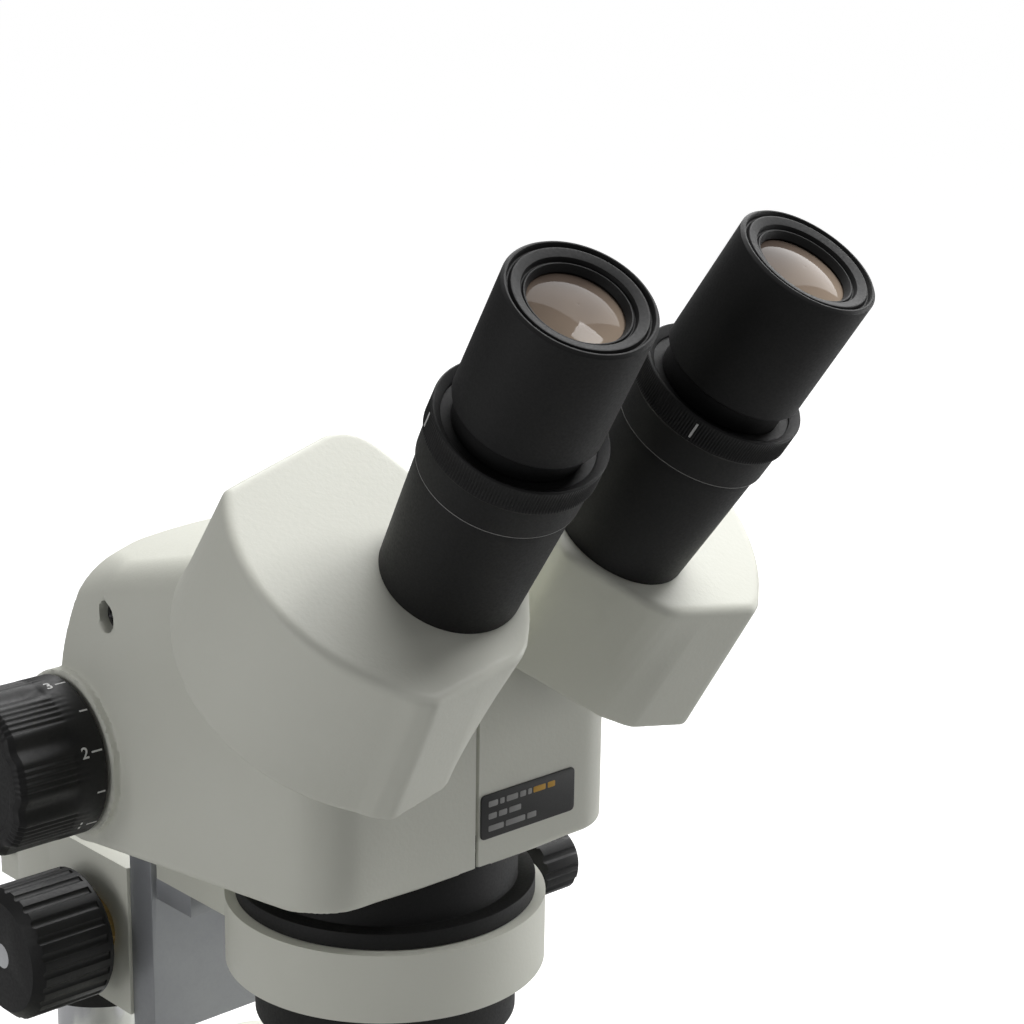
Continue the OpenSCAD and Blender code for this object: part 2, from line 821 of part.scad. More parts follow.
module prism_housing(side) {
    color(cream)
    at_tube(side)
        difference() {
            housing_outer();
            hull() {
                slab(shrink(housing_top(), housing_mid, 0.90), -4.2, -4);
                slab(shrink(housing_bottom(), housing_mid, 0.90), -housing_h - 1, -housing_h - 0.8);
            }
            translate([0, 0, -8])
                cylinder(h = 10, r = 17.1);
        }
}
module prism_housing_left() { prism_housing(-1); }
module prism_housing_right() { prism_housing(1); }
module pivot_plate(side) {
    color(grey)
    at_tube(side)
        difference() {
            union() {
                slab(shrink(housing_bottom(), housing_mid, 0.80), -housing_h, -housing_h + 3);
                translate([pivot[0], pivot[1], -housing_h - 12])
                    cylinder(h = 12, r = spigot_out_r);
            }
            translate([pivot[0], pivot[1], -housing_h - 13])
                cylinder(h = 18, r = spigot_in_r);
        }
}
module pivot_plate_left() { pivot_plate(-1); }
module pivot_plate_right() { pivot_plate(1); }
module prisms(side) {
    color([0.8, 0.88, 0.9])
    at_tube(side) {
        // roof prism over the pivot bore
        translate([pivot[0] + 5, pivot[1], -housing_h + 3.1])
            rotate([90, 0, 0])
                linear_extrude(22, center = true)
                    polygon([[-8, 0], [13, 0], [13, 5], [0, 15], [-8, 5]]);
        // rhomboid that carries the axis across under the eye tube
        translate([2, 4, -20])
            rotate([90, 0, 0])
                linear_extrude(22, center = true)
                    polygon([[-8, -3], [0, -7], [13, -3], [13, 9], [-8, 9]]);
    }
}
module prisms_left() { prisms(-1); }
module prisms_right() { prisms(1); }

// ---------- eye tubes ----------
module revolve(side, pts) {
    at_tube(side)
        rotate_extrude($fn = 96)
            polygon(pts);
}
module eyetube(side) {
    color(black)
    revolve(side, [[15.4, -6], [17, -6], [17, 0], [18.8, 0], [20.3, 35.5], [20.3, 38.2],
        [17.8, 38.2], [17.8, 50], [15.4, 50]]);
}
module eyetube_left() { eyetube(-1); }
module eyetube_right() { eyetube(1); }
module diopter_ring(side) {
    color(black)
    revolve(side, [[17.8 + run_fit, 38.5], [21.1, 38.5], [21.4, 47.6], [22, 48], [22.2, 48.4],
        [22.2, 55], [21.8, 55.4], [19.6, 53.7], [19.6, 53], [spigot_r + run_fit, 53],
        [spigot_r + run_fit, 50.4], [17.8 + run_fit, 50.4]]);
}
module diopter_ring_left() { diopter_ring(-1); }
module diopter_ring_right() { diopter_ring(1); }
module eyepiece(side) {
    color(black)
    revolve(side, [[13.4, 34], [spigot_r, 34], [spigot_r, 53.3], [16.9, 53.3], [16.9, 59],
        [eyepiece_r - 0.6, 59.6], [eyepiece_r, 60.2], [eyepiece_r, eyepiece_top - 0.7],
        [eyepiece_r - 0.7, eyepiece_top], [17.8, eyepiece_top], [17.4, eyepiece_top - 1.4],
        [16.9, eyepiece_top - 1.4], [16.6, eyepiece_top - 0.4], [14, eyepiece_top - 1],
        [13.8, eyepiece_top - 2.4], [13.4, eyepiece_top - 2.4], [13.2, eyepiece_top - 1.8],
        [12.8, eyepiece_top - 1.8], [11.9, eyepiece_top - 3.6], [11.9, eyepiece_top - 3.8],
        [12.7, eyepiece_top - 3.9], [12.7, 88], [11.4, 88], [11.4, 41], [13.4, 41]]);
}
module eyepiece_left() { eyepiece(-1); }
module eyepiece_right() { eyepiece(1); }
module eye_lens(side) {
    color(lens)
    revolve(side, concat([[0, 88.2], [12.65, 88.2], [12.65, eyepiece_top - 4.4]],
        [for (i = [1:8]) [12.65 * (1 - i / 8), eyepiece_top - 4.4 + 2.2 * (1 - pow(1 - i / 8, 2))]]));
}
module eye_lens_left() { eye_lens(-1); }
module eye_lens_right() { eye_lens(1); }
module field_lens(side) {
    color(lens)
    revolve(side, concat([[0, 34.6], [13.3, 36.4], [13.3, 40.9], [0, 40.9]]));
}
module field_lens_left() { field_lens(-1); }
module field_lens_right() { field_lens(1); }

// ---------- assembly ----------
base_plate();
rubber_feet();
column();
column_flange();
flange_screws();
column_cap();
stage_plate();
stage_clip_left();
stage_clip_right();
clip_screws();
safety_collar();
collar_screw();
focus_bracket();
bracket_clamp_screw();
pinion_bushes();
focus_slide();
focus_rack();
ring_holder();
holder_screws();
head_lock_screw();
pinion_shaft();
focus_knob_left();
focus_knob_right();
tension_ring();
head_barrel();
head_frame();
body_cover_left();
body_cover_right();
cover_screws();
label_plate();
objective_cells();
objective_lenses();
guide_rods();
elbow_prisms();
zoom_shaft();
zoom_knob_left();
zoom_knob_right();
zoom_idler();
upper_zoom_carrier();
lower_zoom_carrier();
upper_zoom_lenses();
lower_zoom_lenses();
prism_housing_left();
prism_housing_right();
pivot_plate_left();
pivot_plate_right();
prisms_left();
prisms_right();
eyetube_left();
eyetube_right();
diopter_ring_left();
diopter_ring_right();
eyepiece_left();
eyepiece_right();
eye_lens_left();
eye_lens_right();
field_lens_left();
field_lens_right();
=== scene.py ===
import json
import math

import bmesh
import bpy
import numpy as np
from mathutils import Matrix, Vector


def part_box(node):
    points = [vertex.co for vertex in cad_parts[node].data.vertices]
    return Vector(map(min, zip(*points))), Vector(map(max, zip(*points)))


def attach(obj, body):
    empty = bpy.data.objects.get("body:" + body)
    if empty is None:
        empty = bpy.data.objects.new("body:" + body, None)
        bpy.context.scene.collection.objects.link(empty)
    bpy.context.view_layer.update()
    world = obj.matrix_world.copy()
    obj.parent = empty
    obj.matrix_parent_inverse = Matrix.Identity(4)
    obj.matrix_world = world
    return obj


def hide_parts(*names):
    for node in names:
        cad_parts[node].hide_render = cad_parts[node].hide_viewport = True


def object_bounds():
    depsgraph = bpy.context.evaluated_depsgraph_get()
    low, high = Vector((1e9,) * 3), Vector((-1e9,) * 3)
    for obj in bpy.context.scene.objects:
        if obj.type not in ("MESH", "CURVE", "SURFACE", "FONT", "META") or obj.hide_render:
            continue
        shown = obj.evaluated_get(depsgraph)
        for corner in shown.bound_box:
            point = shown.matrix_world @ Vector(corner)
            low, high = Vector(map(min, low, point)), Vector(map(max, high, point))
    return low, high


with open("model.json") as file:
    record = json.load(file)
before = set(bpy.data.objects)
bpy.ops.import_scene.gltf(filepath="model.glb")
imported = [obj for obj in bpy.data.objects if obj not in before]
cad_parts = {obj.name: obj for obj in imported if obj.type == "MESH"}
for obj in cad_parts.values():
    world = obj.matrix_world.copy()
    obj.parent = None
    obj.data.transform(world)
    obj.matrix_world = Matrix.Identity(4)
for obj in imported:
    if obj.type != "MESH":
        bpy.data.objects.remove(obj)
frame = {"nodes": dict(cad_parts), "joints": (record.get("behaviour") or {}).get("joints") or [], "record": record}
cad_box = [list(map(float, corner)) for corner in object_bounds()]
nodes = frame["nodes"]
MM = 0.001

# ---------------------------------------------------------------- geometry read from the frame
joints = {j["name"]: j for j in frame["joints"]}
AX_R = np.array(joints["eyepiece_right_pull"]["axis"])
SPLAY = math.asin(AX_R[0])
ELEV = math.asin(AX_R[2] / math.cos(SPLAY))
U_R = np.array([math.cos(SPLAY), math.sin(SPLAY) * math.cos(ELEV), -math.sin(SPLAY) * math.sin(ELEV)])
V_R = np.array([0.0, math.sin(ELEV), math.cos(ELEV)])
HOUSING_H = 44.4
PIVOT = np.array([-5.0, 13.0])
pivot_point = np.array(joints["ipd_right"]["pos_m"]) / MM
TUBE_R = pivot_point - PIVOT[0] * U_R - PIVOT[1] * V_R + HOUSING_H * AX_R
zoom_point = np.array(joints["zoom_turn"]["pos_m"]) / MM
cover_lo, cover_hi = [np.array(c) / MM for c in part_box("body_cover_right")]
LENS_HEIGHT = 92.0
LENS_Z = float(TUBE_R[2] + LENS_HEIGHT * AX_R[2])
label_lo, label_hi = [np.array(c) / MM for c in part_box("label_plate")]


def tube_matrix(side):
    """Local eye-tube frame in millimetres to the row frame in metres; side is 1 right, -1 left."""
    m = Matrix.Identity(4)
    for row in range(3):
        for col, vec in enumerate((U_R, V_R, AX_R, TUBE_R)):
            m[row][col] = vec[row] * MM
    flip = Matrix.Diagonal((side, 1, 1, 1))
    return flip @ m


# ---------------------------------------------------------------- materials
def new_material(name):
    mat = bpy.data.materials.new(name)
    mat.use_nodes = True
    tree = mat.node_tree
    return mat, tree, tree.nodes["Principled BSDF"]


def noise(tree, scale, detail=3.0, roughness=0.5):
    coord = tree.nodes.new("ShaderNodeTexCoord")
    tex = tree.nodes.new("ShaderNodeTexNoise")
    tex.inputs["Scale"].default_value = scale
    tex.inputs["Detail"].default_value = detail
    tex.inputs["Roughness"].default_value = roughness
    tree.links.new(coord.outputs["Object"], tex.inputs["Vector"])
    return tex


def ramp(tree, source, low, high, lo=0.0, hi=1.0):
    node = tree.nodes.new("ShaderNodeMapRange")
    node.inputs["From Min"].default_value = low
    node.inputs["From Max"].default_value = high
    node.inputs["To Min"].default_value = lo
    node.inputs["To Max"].default_value = hi
    tree.links.new(source, node.inputs["Value"])
    return node.outputs["Result"]


def mix_colour(tree, factor, a, b):
    node = tree.nodes.new("ShaderNodeMix")
    node.data_type = "RGBA"
    node.inputs[6].default_value = (*a, 1)
    node.inputs[7].default_value = (*b, 1)
    tree.links.new(factor, node.inputs[0])
    return node.outputs[2]


def bump(tree, shader, height, strength, distance):
    node = tree.nodes.new("ShaderNodeBump")
    node.inputs["Strength"].default_value = strength
    node.inputs["Distance"].default_value = distance
    tree.links.new(height, node.inputs["Height"])
    tree.links.new(node.outputs["Normal"], shader.inputs["Normal"])


def surface(name, a, b, rough, metal=0.0, grain=400.0, depth=2e-5, strength=0.3):
    """A painted, moulded or machined surface: two close tones in soft patches, and a fine grain."""
    mat, tree, shader = new_material(name)
    shader.inputs["Specular IOR Level"].default_value = 0.34
    patches = noise(tree, 25.0, 4.0)
    fine = noise(tree, grain, 3.0)
    tone = ramp(tree, patches.outputs["Fac"], 0.35, 0.65)
    tree.links.new(mix_colour(tree, tone, a, b), shader.inputs["Base Color"])
    tree.links.new(ramp(tree, fine.outputs["Fac"], 0.3, 0.7, rough - 0.06, rough + 0.06),
                   shader.inputs["Roughness"])
    shader.inputs["Metallic"].default_value = metal
    bump(tree, shader, fine.outputs["Fac"], strength, depth)
    return mat


def brushed(name, colour, rough, stretch):
    mat, tree, shader = new_material(name)
    coord = tree.nodes.new("ShaderNodeTexCoord")
    mapping = tree.nodes.new("ShaderNodeMapping")
    mapping.inputs["Scale"].default_value = stretch
    tex = tree.nodes.new("ShaderNodeTexNoise")
    tex.inputs["Scale"].default_value = 60.0
    tex.inputs["Detail"].default_value = 5.0
    tree.links.new(coord.outputs["Object"], mapping.inputs["Vector"])
    tree.links.new(mapping.outputs["Vector"], tex.inputs["Vector"])
    dark = tuple(c * 0.93 for c in colour)
    tree.links.new(mix_colour(tree, tex.outputs["Fac"], dark, colour), shader.inputs["Base Color"])
    tree.links.new(ramp(tree, tex.outputs["Fac"], 0.3, 0.7, rough - 0.05, rough + 0.05),
                   shader.inputs["Roughness"])
    shader.inputs["Metallic"].default_value = 1.0
    bump(tree, shader, tex.outputs["Fac"], 0.1, 2e-6)
    return mat


def orange_peel(name, a, b):
    """Powder coat: a dimpled skin at two scales over a cream colour."""
    mat, tree, shader = new_material(name)
    patches = noise(tree, 18.0, 3.0)
    tone = ramp(tree, patches.outputs["Fac"], 0.35, 0.65)
    tree.links.new(mix_colour(tree, tone, a, b), shader.inputs["Base Color"])
    dimples = noise(tree, 820.0, 2.0, 0.45)
    fine = noise(tree, 1900.0, 2.0, 0.5)
    both = tree.nodes.new("ShaderNodeMath")
    both.operation = "MULTIPLY_ADD"
    both.inputs[1].default_value = 0.35
    tree.links.new(fine.outputs["Fac"], both.inputs[0])
    tree.links.new(dimples.outputs["Fac"], both.inputs[2])
    tree.links.new(ramp(tree, dimples.outputs["Fac"], 0.35, 0.65, 0.42, 0.52), shader.inputs["Roughness"])
    shader.inputs["Specular IOR Level"].default_value = 0.42
    bump(tree, shader, both.outputs[0], 0.62, 8e-5)
    return mat


def lens_glass_painted_reflection(name, low, high, turn_z, spread):
    """Lens glass with a brownish film, its base colour a painted reflection: lighter tan towards its lower edge,
    dark brown at the top.
    """
    mat, tree, shader = new_material(name)
    coord = tree.nodes.new("ShaderNodeTexCoord")
    split = tree.nodes.new("ShaderNodeSeparateXYZ")
    tree.links.new(coord.outputs["Object"], split.inputs[0])
    cloud = noise(tree, 55.0, 1.5)
    sway = tree.nodes.new("ShaderNodeMath")
    sway.operation = "MULTIPLY_ADD"
    sway.inputs[1].default_value = spread * 1.1
    tree.links.new(cloud.outputs["Fac"], sway.inputs[0])
    tree.links.new(split.outputs["Z"], sway.inputs[2])
    # Painted reflection: the colour turns from light tan low on the lens to dark brown higher up, along a cloudy
    # edge.
    tone = ramp(tree, sway.outputs[0], turn_z - spread * 0.45, turn_z + spread * 1.5)
    tree.links.new(mix_colour(tree, tone, low, high), shader.inputs["Base Color"])
    shader.inputs["Roughness"].default_value = 0.05
    shader.inputs["IOR"].default_value = 1.42
    shader.inputs["Specular IOR Level"].default_value = 0.16
    return mat


def clear_glass(name, colour):
    mat, tree, shader = new_material(name)
    specks = noise(tree, 60.0, 2.0)
    tone = ramp(tree, specks.outputs["Fac"], 0.3, 0.7)
    tree.links.new(mix_colour(tree, tone, colour, tuple(c * 0.97 for c in colour)), shader.inputs["Base Color"])
    shader.inputs["Roughness"].default_value = 0.02
    shader.inputs["IOR"].default_value = 1.52
    shader.inputs["Transmission Weight"].default_value = 0.9
    return mat


MATS = {
    "cream_paint": orange_peel("cream_paint", (0.70, 0.705, 0.632), (0.68, 0.685, 0.61)),
    "base_paint": orange_peel("base_paint", (0.71, 0.715, 0.645), (0.69, 0.695, 0.62)),
    "black_anodised": surface("black_anodised", (0.0070, 0.0070, 0.0073), (0.0092, 0.0091, 0.0094), 0.60,
                              grain=1500, depth=1.2e-5, strength=0.35),
    "black_plastic": surface("black_plastic", (0.0065, 0.0065, 0.0068), (0.0092, 0.0091, 0.0094), 0.50,
                             grain=900, depth=2e-5, strength=0.3),
    "black_steel": surface("black_steel", (0.02, 0.02, 0.022), (0.035, 0.034, 0.036), 0.38, metal=0.7),
    "bright_steel": brushed("bright_steel", (0.72, 0.73, 0.75), 0.16, (6, 6, 0.4)),
    "brushed_steel": brushed("brushed_steel", (0.60, 0.61, 0.63), 0.30, (1, 8, 1)),
    "cast_grey": surface("cast_grey", (0.30, 0.31, 0.33), (0.36, 0.37, 0.39), 0.45, metal=0.6,
                         grain=700, depth=4e-5, strength=0.4),
    "brass": brushed("brass", (0.75, 0.56, 0.25), 0.28, (1, 6, 6)),
    "rubber": surface("rubber", (0.018, 0.018, 0.018), (0.03, 0.03, 0.029), 0.75, grain=1200,
                      depth=4e-5, strength=0.5),
    "stage_white": surface("stage_white", (0.80, 0.80, 0.79), (0.76, 0.76, 0.745), 0.22, grain=300,
                           depth=6e-6, strength=0.2),
    "label": surface("label", (0.035, 0.035, 0.036), (0.048, 0.048, 0.048), 0.5, grain=1600,
                     depth=1e-5, strength=0.3),
    # The eye lens colour is a painted reflection, light tan at the lower edge and dark brown at the top.
    "coated_glass": lens_glass_painted_reflection("coated_glass", (0.37, 0.29, 0.222), (0.085, 0.064, 0.052), LENS_Z * MM,
                                 0.006),
    "clear_glass": clear_glass("clear_glass", (0.84, 0.93, 0.95)),
    "mark_white": surface("mark_white", (0.72, 0.72, 0.71), (0.64, 0.64, 0.63), 0.5, grain=1800),
    "mark_grey": surface("mark_grey", (0.34, 0.34, 0.33), (0.28, 0.28, 0.275), 0.5, grain=1800),
    "mark_ochre": surface("mark_ochre", (0.62, 0.36, 0.06), (0.55, 0.31, 0.05), 0.5, grain=1800),
}

slot_of = {s["node"]: s["material_slot"] for s in frame["record"]["subparts"]}
body_of_node = {n: b for b, ns in frame["record"]["behaviour"]["bodies"].items() for n in ns}
for node_name, node_obj in nodes.items():
    node_obj.data.materials.clear()
    node_obj.data.materials.append(MATS[slot_of[node_name]])


# ---------------------------------------------------------------- mesh helpers
def mesh_object(name, verts, faces, material, smooth=True):
    mesh = bpy.data.meshes.new(name)
    mesh.from_pydata([tuple(map(float, v)) for v in verts], [], [tuple(map(int, f)) for f in faces])
    mesh.validate()
    obj = bpy.data.objects.new(name, mesh)
    bpy.context.scene.collection.objects.link(obj)
    mesh.materials.append(MATS[material])
    if smooth:
        mesh.shade_smooth()
    return obj


def orient(obj):
    bm = bmesh.new()
    bm.from_mesh(obj.data)
    bmesh.ops.recalc_face_normals(bm, faces=bm.faces)
    bm.to_mesh(obj.data)
    bm.free()


def sharpen(obj, degrees):
    """Smooth faces, with the edges sharper than this angle kept crisp."""
    obj.data.shade_smooth()
    obj.data.set_sharp_from_angle(angle=math.radians(degrees))


def place(obj, body, slot, *replaced):
    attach(obj, body)
    if replaced:
        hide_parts(*replaced)


def fillet(points, radius, steps=5, least=6.0):
    """The closed outline with every corner sharper than `least` degrees rounded to the radius."""
    pts = [np.array(p, float) for p in points]
    out = []
    for i, p in enumerate(pts):
        a, b = pts[i - 1] - p, pts[(i + 1) % len(pts)] - p
        la, lb = np.linalg.norm(a), np.linalg.norm(b)
        a, b = a / la, b / lb
        turn = math.pi - math.acos(np.clip(a @ b, -1, 1))
        if math.degrees(turn) < least:
            out.append(p)
            continue
        cut = min(radius * math.tan(turn / 2), 0.48 * la, 0.48 * lb)
        start, end = p + a * cut, p + b * cut
        for k in range(steps + 1):
            t = k / steps
            out.append(start * (1 - t) ** 2 + 2 * p * t * (1 - t) + end * t ** 2)
    return np.array(out)


def arc(centre, radius, start, end, steps):
    angles = np.radians(np.linspace(start, end, steps + 1))
    return [(centre[0] + radius * math.cos(t), centre[1] + radius * math.sin(t)) for t in angles]


def lathe(name, profile, matrix, material, segments=192, rib=None, least=8.0, ease=0.22):
    """Turns a closed (radius, height) outline about the local z axis; rib gives its depth of cut at each angle."""
    prof = fillet(profile, ease, 3, least)
    rings = []
    angles = np.linspace(0, 2 * math.pi, segments, endpoint=False)
    for r, z in prof:
        wave = np.full(segments, r) - (rib(r, z, angles) if rib else 0)
        rings.append(np.column_stack([wave * np.cos(angles), wave * np.sin(angles), np.full(segments, z)]))
    verts = np.vstack(rings)
    faces = []
    n = len(rings)
    for i in range(n):
        j = (i + 1) % n
        if prof[i][0] < 1e-6 and prof[j][0] < 1e-6:
            continue
        for k in range(segments):
            m = (k + 1) % segments
            faces.append((i * segments + k, i * segments + m, j * segments + m, j * segments + k))
    obj = mesh_object(name, verts, faces, material)
    bm = bmesh.new()
    bm.from_mesh(obj.data)
    bmesh.ops.remove_doubles(bm, verts=bm.verts, dist=1e-5)
    bmesh.ops.recalc_face_normals(bm, faces=bm.faces)
    bm.to_mesh(obj.data)
    bm.free()
    obj.data.transform(matrix)
    if matrix.determinant() < 0:
        obj.data.flip_normals()
    sharpen(obj, 38)
    return obj


# ---------------------------------------------------------------- rounded shells from distance fields
def sd_polygon(x, y, pts):
    """Signed distance to a closed outline, negative inside."""
    best = np.full(x.shape, 1e9)
    inside = np.zeros(x.shape, bool)
    for (ax, ay), (bx, by) in zip(pts, np.roll(pts, -1, axis=0)):
        ex, ey = bx - ax, by - ay
        wx, wy = x - ax, y - ay
        t = np.clip((wx * ex + wy * ey) / (ex * ex + ey * ey), 0, 1)
        best = np.minimum(best, (wx - ex * t) ** 2 + (wy - ey * t) ** 2)
        if ey:
            crosses = ((ay > y) != (by > y)) & (x < ex * (y - ay) / ey + ax)
            inside ^= crosses
    return np.where(inside, -1.0, 1.0) * np.sqrt(best)


def meet(a, b, r):
    """Intersection of two fields with a rounded edge."""
    u, v = np.maximum(a + r, 0), np.maximum(b + r, 0)
    return np.minimum(np.maximum(a, b), -r) + np.sqrt(u * u + v * v)


def join(a, b, r):
    """Union of two fields with a rounded inner corner."""
    u, v = np.maximum(r - a, 0), np.maximum(r - b, 0)
    return np.maximum(np.minimum(a, b), r) - np.sqrt(u * u + v * v)


def cut(a, b, r):
    return meet(a, -b, r)


def surface_net(field, low, high, step):
    """Quads on the zero level of a field sampled on a grid, then moved onto it exactly."""
    axes = [np.arange(low[i], high[i] + step, step) for i in range(3)]
    grid = np.stack(np.meshgrid(*axes, indexing="ij"), -1)
    shape = grid.shape[:3]
    f = field(grid.reshape(-1, 3)).reshape(shape)
    inside = f < 0
    cells = tuple(s - 1 for s in shape)
    total = np.zeros(cells + (3,))
    count = np.zeros(cells)
    base = np.stack(np.meshgrid(*[np.arange(c) for c in cells], indexing="ij"), -1).astype(float)
    crossing = {}
    for d in range(3):
        f0 = np.take(f, range(shape[d] - 1), d)
        f1 = np.take(f, range(1, shape[d]), d)
        hit = (f0 < 0) != (f1 < 0)
        t = np.where(hit, f0 / np.where(hit, f0 - f1, 1), 0)
        crossing[d] = hit
        others = [o for o in range(3) if o != d]
        for p in (0, 1):
            for q in (0, 1):
                window = [slice(None)] * 3
                window[others[0]] = slice(p, p + cells[others[0]])
                window[others[1]] = slice(q, q + cells[others[1]])
                here = hit[tuple(window)]
                offset = np.zeros(cells + (3,))
                offset[..., d] = t[tuple(window)]
                offset[..., others[0]] = p
                offset[..., others[1]] = q
                total += np.where(here[..., None], base + offset, 0)
                count += here
    used = count > 0
    index = np.full(cells, -1)
    index[used] = np.arange(used.sum())
    verts = total[used] / count[used][:, None] * step + np.array(low)
    quads = []
    for d in range(3):
        others = [o for o in range(3) if o != d]
        window = [slice(None)] * 3
        window[others[0]] = slice(1, cells[others[0]])
        window[others[1]] = slice(1, cells[others[1]])
        at = np.argwhere(crossing[d][tuple(window)])
        at[:, others[0]] += 1
        at[:, others[1]] += 1
        ring = []
        for p, q in ((-1, -1), (0, -1), (0, 0), (-1, 0)):
            c = at.copy()
            c[:, others[0]] += p
            c[:, others[1]] += q
            ring.append(index[c[:, 0], c[:, 1], c[:, 2]])
        quad = np.stack(ring, 1)
        out = inside[at[:, 0], at[:, 1], at[:, 2]]
        if d == 1:
            out = ~out
        quad[~out] = quad[~out][:, ::-1]
        quads.append(quad)
    verts = settle(field, verts, 3)
    return verts, np.vstack(quads)


def settle(field, verts, rounds):
    """Newton steps that bring points onto the zero level."""
    eps = 0.02
    for _ in range(rounds):
        value = field(verts)
        grad = np.stack([(field(verts + eps * e) - field(verts - eps * e)) / (2 * eps)
                         for e in np.eye(3)], 1)
        size = np.maximum((grad ** 2).sum(1), 0.25)
        move = -(value / size)[:, None] * grad
        verts = verts + np.clip(move, -0.5, 0.5)
    return verts


MILLI = Matrix.Diagonal((MM, MM, MM, 1))
MIRROR = Matrix.Diagonal((-1, 1, 1, 1))


def outward(side, x, y, z):
    """A local frame at a point, its z axis pointing out of the body on that side and its x axis up."""
    return Matrix(((0, 0, side, x), (0, 1, 0, y), (1, 0, 0, z), (0, 0, 0, 1)))


# ---------------------------------------------------------------- zoom body covers
WALL = 2.5
COVER_WALL = 3.3
FRONT_Y = float(label_hi[1])
FLOOR_Z = 186.0
FRONT_TOP = 244.0
RIDGE = (6.0, 274.0)
ROOF_END = (74.0, 243.0)
BOSS_R = 28.0
HALF_W = 56.0
SCREW_SEAT = HALF_W - 5
CORNER_R = 16.0
BACK_R = 75.0
BACK_C = 29.0
CROWN_R = 230.0
LEAN_FROM = 221.0
LEAN = 0.0074
LEAN_Y = 53.0
BOSS_RIM_R = 24.6
BARREL_HOLE_R = 38.3
PIVOT_HOLE_R = 13.2
SHAFT_HOLE_R = 7.0
SCREW_AT = (55.0, 247.0)
SCREW_POST_R = 7.0
SCREW_RECESS_R = 4.6
SCREW_HOLE_R = 2.3
back_angle = math.degrees(math.acos((HALF_W + 1) / BACK_R))
REACH_Y = 40.0
roof_slope = (FRONT_TOP - RIDGE[1]) / (FRONT_Y - RIDGE[0])
PROFILE = np.array([(FRONT_Y - REACH_Y, FLOOR_Z), (FRONT_Y - REACH_Y, FRONT_TOP - REACH_Y * roof_slope), RIDGE]
                   + arc(ROOF_END, 12, 75, 12, 8)
                   + arc(zoom_point[1:], BOSS_R, 15, -105, 20)
                   + [(FRONT_Y + 8, FLOOR_Z)])
PLAN = np.array(arc((HALF_W - CORNER_R, FRONT_Y + CORNER_R), CORNER_R, 0, -90, 14)
                + arc((CORNER_R - HALF_W, FRONT_Y + CORNER_R), CORNER_R, -90, -180, 14)
                + arc((0, BACK_C), BACK_R, 180 - back_angle, back_angle, 30))
DECK_POINT = TUBE_R - (HOUSING_H + 0.4) * AX_R


def body_field(p):
    """The right-hand cover, for x from the seam outwards."""
    x, y, z = np.abs(p[:, 0]), p[:, 1], p[:, 2]
    lean = LEAN * np.maximum(z - LEAN_FROM, 0) ** 2 * np.clip((y - LEAN_Y) / 24, 0, 1)
    plan = sd_polygon(x, y, PLAN) + lean
    high = np.clip((z - 200) / 25, 0, 1)
    crown = (HALF_W ** 2 - np.minimum(x, HALF_W) ** 2) / (2 * CROWN_R) * high
    low_edge = 0.8 + 1.6 * np.clip((x - 15) / 20, 0, 1)
    skin = meet(sd_polygon(y, z - crown, PROFILE), plan, low_edge + 6.0 * high)
    deck = (x - DECK_POINT[0]) * AX_R[0] + (y - DECK_POINT[1]) * AX_R[1] + (z - DECK_POINT[2]) * AX_R[2]
    skin = meet(skin, deck, 1.2)
    from_knob = np.hypot(y - zoom_point[1], z - zoom_point[2])
    boss = meet(from_knob - BOSS_RIM_R, np.abs(x - 50) - 9.2, 0.6)
    solid = join(skin, boss, 0.8)
    inner = np.maximum(skin, np.abs(x) - HALF_W) + COVER_WALL
    shell = np.maximum(solid, -inner)
    from_screw = np.hypot(y - SCREW_AT[0], z - SCREW_AT[1])
    post = meet(from_screw - SCREW_POST_R, HALF_W - 7 - x, 0.3)
    shell = np.minimum(shell, np.maximum(post, skin + 1.0))
    shell = cut(shell, np.maximum(from_screw - SCREW_RECESS_R, SCREW_SEAT - x), 0.45)
    shell = np.maximum(shell, SCREW_HOLE_R - from_screw)
    shell = cut(shell, np.maximum(from_knob - SHAFT_HOLE_R, 40 - x), 0.4)
    shell = cut(shell, np.maximum(np.hypot(x, y) - BARREL_HOLE_R, z - 196), 0.5)
    along = np.stack([x, y, z], 1) - pivot_point
    off = along - (along @ AX_R)[:, None] * AX_R
    shell = cut(shell, np.maximum(np.linalg.norm(off, axis=1) - PIVOT_HOLE_R, 225 - z), 0.3)
    return meet(shell, SEAM - p[:, 0], 0.3)


SEAM = 0.22
STEP_BODY = 1.15
body_lo = (SEAM - 2.5 * STEP_BODY, cover_lo[1] - 2, cover_lo[2] - 2)
body_hi = (cover_hi[0] + 2, cover_hi[1] + 2, cover_hi[2] + 2)
body_verts, body_quads = surface_net(body_field, body_lo, body_hi, STEP_BODY)
for cover_side, side_word in ((1, "right"), (-1, "left")):
    cover = mesh_object("cover_" + side_word, body_verts, body_quads, "cream_paint")
    cover.data.transform(MILLI if cover_side > 0 else MIRROR @ MILLI)
    orient(cover)
    sharpen(cover, 50)
    place(cover, "head", "cream_paint", "body_cover_" + side_word)

# ---------------------------------------------------------------- prism housings
TOP = fillet(arc(PIVOT, 55.5, -46, 34, 24) + arc((3.5, 41.5), 11.2, 75, 160, 10)
             + [(-23.4, -2), (-22.9, -4.6), (-12.6, -19.6), (-7.6, -25.4), (-4, -28), (-1, -28.9)]
             + [(26.2, -32.8), (30, -30.6)], 4.2)
BOTTOM = fillet(arc((3.3, 12), 52.5, -54, 50, 24) + arc((5, 42), 10.5, 78, 165, 10)
                + [(-17.6, 2), (-16.6, -5.4), (-0.2, -27.2), (5.9, -31.9), (8, -33)]
                + [(26.2, -36.2), (31, -33.6)], 4.2)


